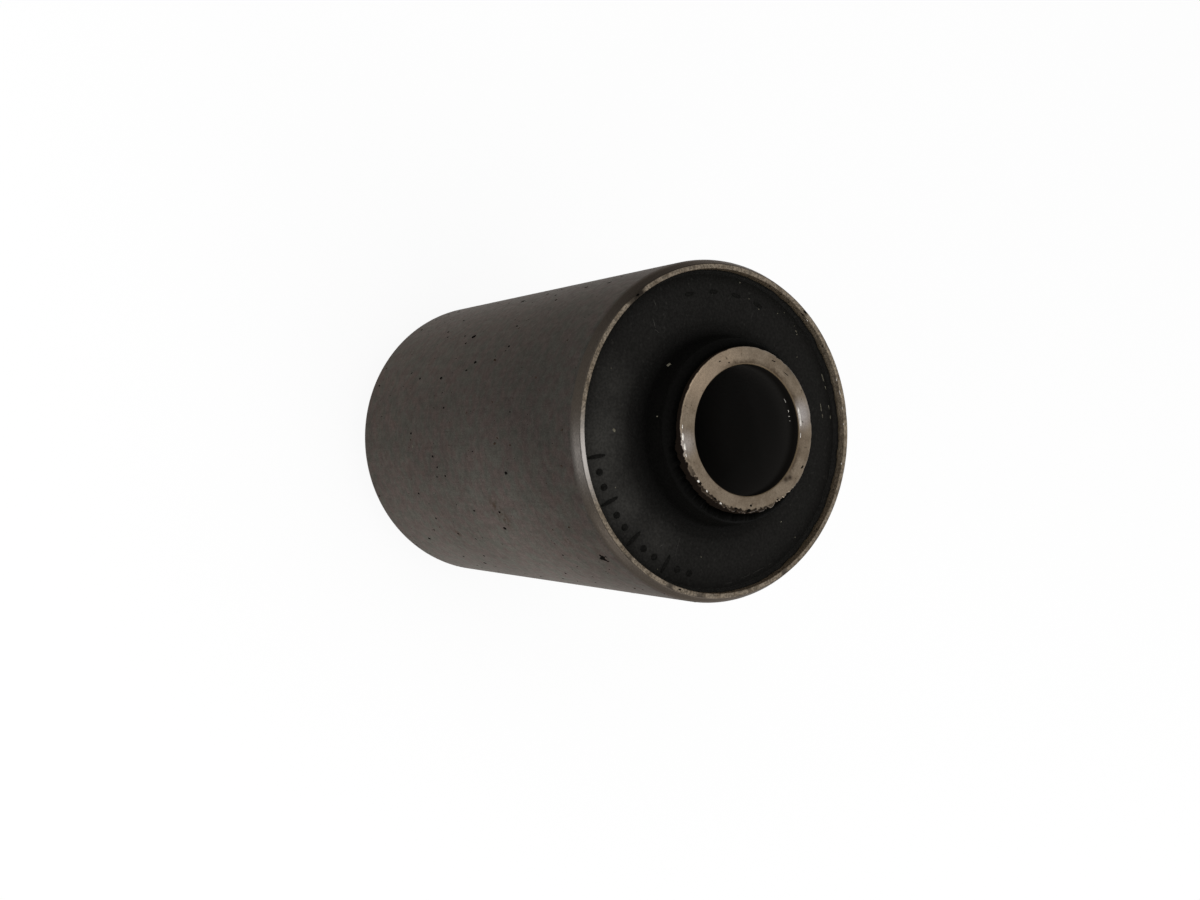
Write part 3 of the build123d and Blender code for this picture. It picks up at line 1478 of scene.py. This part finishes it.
def moulded_rubber(bush: Bush) -> bpy.types.Material:
    """Make the rubber's finish, with its painted sheen.

    Args:
        bush: the pieces' sizes.

    Returns:
        The material.
    """
    rubber = bush.rubber
    # Where the ring carries a painted sheen.
    painted_sheen = on_end(
        rubber.rim,
        *[(2, 16.0, 5.5, 0.9), (17, 16.6, 4.5, 0.8), (32, 15.5, 4.5, 0.8)],
        *[(-19, 15.2, 4.5, 0.45), (55, 15.0, 4.5, 0.4)],
    )
    return MouldedRubber(rubber.root_radius, painted_sheen).material()


def faced_steel(bush: Bush) -> bpy.types.Material:
    """Make the inner sleeve's finish, with its stains, rust, painted light and painted highlights.

    Args:
        bush: the pieces' sizes.

    Returns:
        The material.
    """
    inner = bush.inner
    end, bore = inner.end, inner.bore_radius
    return FacedSteel(
        bore,
        inner.radius,
        end,
        stains=on_end(end, (134, 7.4, 0.6, 0.9), (138, 7.7, 0.5, 0.9), (-132, 8.9, 1.6, 0.4)),
        # Painted highlights.
        painted_cool_highlight=on_end(end, (-166, 7.5, 2.4, 0.9), (10, 8.5, 2.0, 0.6)),
        # Painted warm light on one side of the end.
        painted_warm_light=on_end(end, (-40, 8.5, 4.5, 0.9), (-68, 8.5, 4.0, 0.6)),
        rusty_edge=on_end(end, *((angle, 9.0, 4.0) for angle in (40, 60, 80, 100))),
        brown_edge=on_end(
            end,
            *[(-85, bore, 4.5, 0.8), (-122, bore, 3.5, 0.9)],
            *[(-148, bore, 2.0, 0.8), (150, bore, 4.0, 0.8)],
        ),
    ).material()


def dress(bush: Bush) -> Iterable[bpy.types.Object]:
    """Build every piece of the bush, one after another.

    Args:
        bush: the pieces' sizes.

    Yields:
        Each piece as it is made.
    """
    yield bush.outer.build(coated_steel(bush))
    yield bush.rubber.build(moulded_rubber(bush))
    yield bush.inner.build(faced_steel(bush))

    black = PlainFinish("black_pit", (0.004, 0.0036, 0.0033), 0.9).material()
    brown = PlainFinish("brown_scale", (0.026, 0.018, 0.013), 0.9).material()
    # Burrs finished near white, which paint glints on the end's edges.
    burr_and_glint = PlainFinish("burr_painted_glint", (0.72, 0.68, 0.62), 0.3, metallic=0.6, gloss=0.5).material()
    # A pale matt finish for dusty specks and painted glints.
    dust_and_glint = PlainFinish("pale_dust_and_glint", (0.15, 0.138, 0.105), 0.9).material()
    # Grey rubber for scuff lines and a painted sheen line.
    grey = PlainFinish("scuffed_rubber_and_sheen", (0.055, 0.052, 0.047), 0.8).material()
    smooth = PlainFinish("mould_mark_rubber", (0.0115, 0.0111, 0.0102), 0.7).material()
    pits = (
        *wall_pits(),
        *scattered_on_wall(bush, 260, 5, 0.22),
        *scattered_on_wall(bush, 60, 6, 0.6, span=(78, 282)),
    )
    scale = scattered_on_wall(bush, 200, 8, 0.3)
    raised = Flecks("mould_marks", mould_marks(), 0.1, sides=12, uneven=0.04, seed=4)
    yield Flecks("wall_pits", pits, 0.012, seed=2).build(bush, black, "outer_steel")
    yield Flecks("rim_nicks", RIM_NICKS, 0.012, seed=6).build(bush, black, "outer_steel")
    yield Flecks("end_specks", END_SPECKS, 0.012, seed=7).build(bush, black, "inner_steel")
    yield Flecks("wall_scale", scale, 0.006, seed=3).build(bush, brown, "outer_steel")
    yield Flecks("edge_burrs_and_glints", EDGE_BURRS_AND_GLINTS, 0.03, seed=9).build(bush, burr_and_glint, "inner_steel")
    yield Flecks("dust_and_glint", DUST_AND_GLINTS, 0.05, seed=10).build(bush, dust_and_glint, "rubber")
    yield Flecks("scuffs_and_sheen", SCUFFS_AND_SHEEN, 0.01, seed=11).build(bush, grey, "rubber")
    yield raised.build(bush, smooth, "rubber")


def main() -> None:
    """Load the frame, build the bush and its stage, and log each piece's face count."""
    logging.basicConfig(level=logging.INFO, format="%(name)s: %(message)s")
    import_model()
    outer = OuterSleeve(*outside_of("outer_sleeve"))
    inner = InnerSleeve(*outside_of("inner_sleeve"))
    rubber = RubberBody(inner.radius, outer.inside, outer.end, inner.end)
    bush = Bush(outer, rubber, inner)
    for piece in dress(bush):
        LOG.info("%s: %d faces", piece.name, len(piece.data.polygons))
    Stage(floor_height=-inner.end).build()
    Viewpoint().build()
    bpy.context.view_layer.update()


if __name__ == "__main__":
    main()
